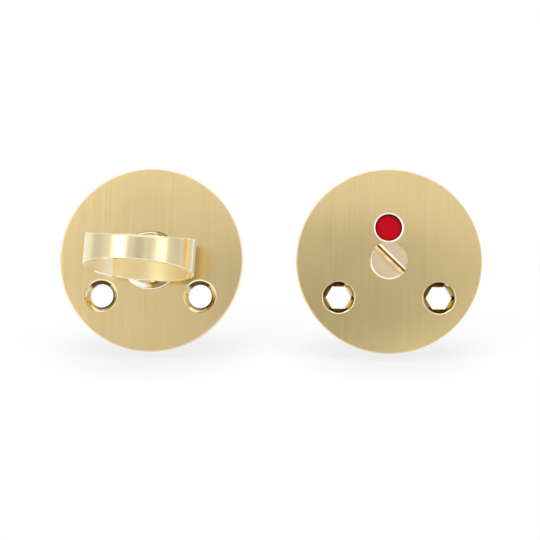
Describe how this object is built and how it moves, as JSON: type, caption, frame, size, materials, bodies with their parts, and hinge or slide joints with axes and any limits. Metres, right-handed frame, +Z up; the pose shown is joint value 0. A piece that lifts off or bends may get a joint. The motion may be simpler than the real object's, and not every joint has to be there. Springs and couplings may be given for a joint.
{
  "type": "bathroom thumb turn lock",
  "caption": "Round brass bathroom door roses: an inside thumb turn with a tapered finger ring, and an outside release with an occupied window.",
  "frame": {"origin": "on the thumb turn's axis, on the door side of the inside rose", "axes": "+Z up as on the door, +X to the right seen from the front, fronts face -Y, the drive spindle points along +Y"},
  "size_m": [0.1146, 0.0798, 0.05],
  "materials": {
    "rose_brass": "satin, brushed upright",
    "turn_brass": "pale satin",
    "boss_brass": "satin, turned",
    "release_brass": "satin, faced",
    "spring_steel": "bright",
    "spindle_steel": "zinc plated",
    "bush_nylon": "natural",
    "indicator_red": "red and white fields"
  },
  "bodies": {
    "root": {"inside_rose": "rose_brass", "bearing_bush": "bush_nylon", "outside_rose": "rose_brass"},
    "thumb_turn": {"turn_ring": "turn_brass", "turn_hub": "boss_brass", "drive_spindle": "spindle_steel", "spindle_pin": "spring_steel", "turn_spring_washer": "spring_steel", "turn_flat_washer": "spring_steel", "turn_retaining_ring": "spring_steel"},
    "release": {"release_button": "release_brass", "indicator_disc": "indicator_red", "release_spring_washer": "spring_steel", "release_flat_washer": "spring_steel", "release_retaining_ring": "spring_steel"}
  },
  "joints": [
    {"name": "thumb_turn_hinge", "type": "hinge", "parent": "root", "child": "thumb_turn", "pos_m": [0, 0, 0], "axis": [0, -1, 0], "range_deg": [-86.6, 3.4]},
    {"name": "release_hinge", "type": "hinge", "parent": "root", "child": "release", "pos_m": [0.0646, 0, 0], "axis": [0, -1, 0], "range_deg": [-3.4, 86.6]}
  ]
}
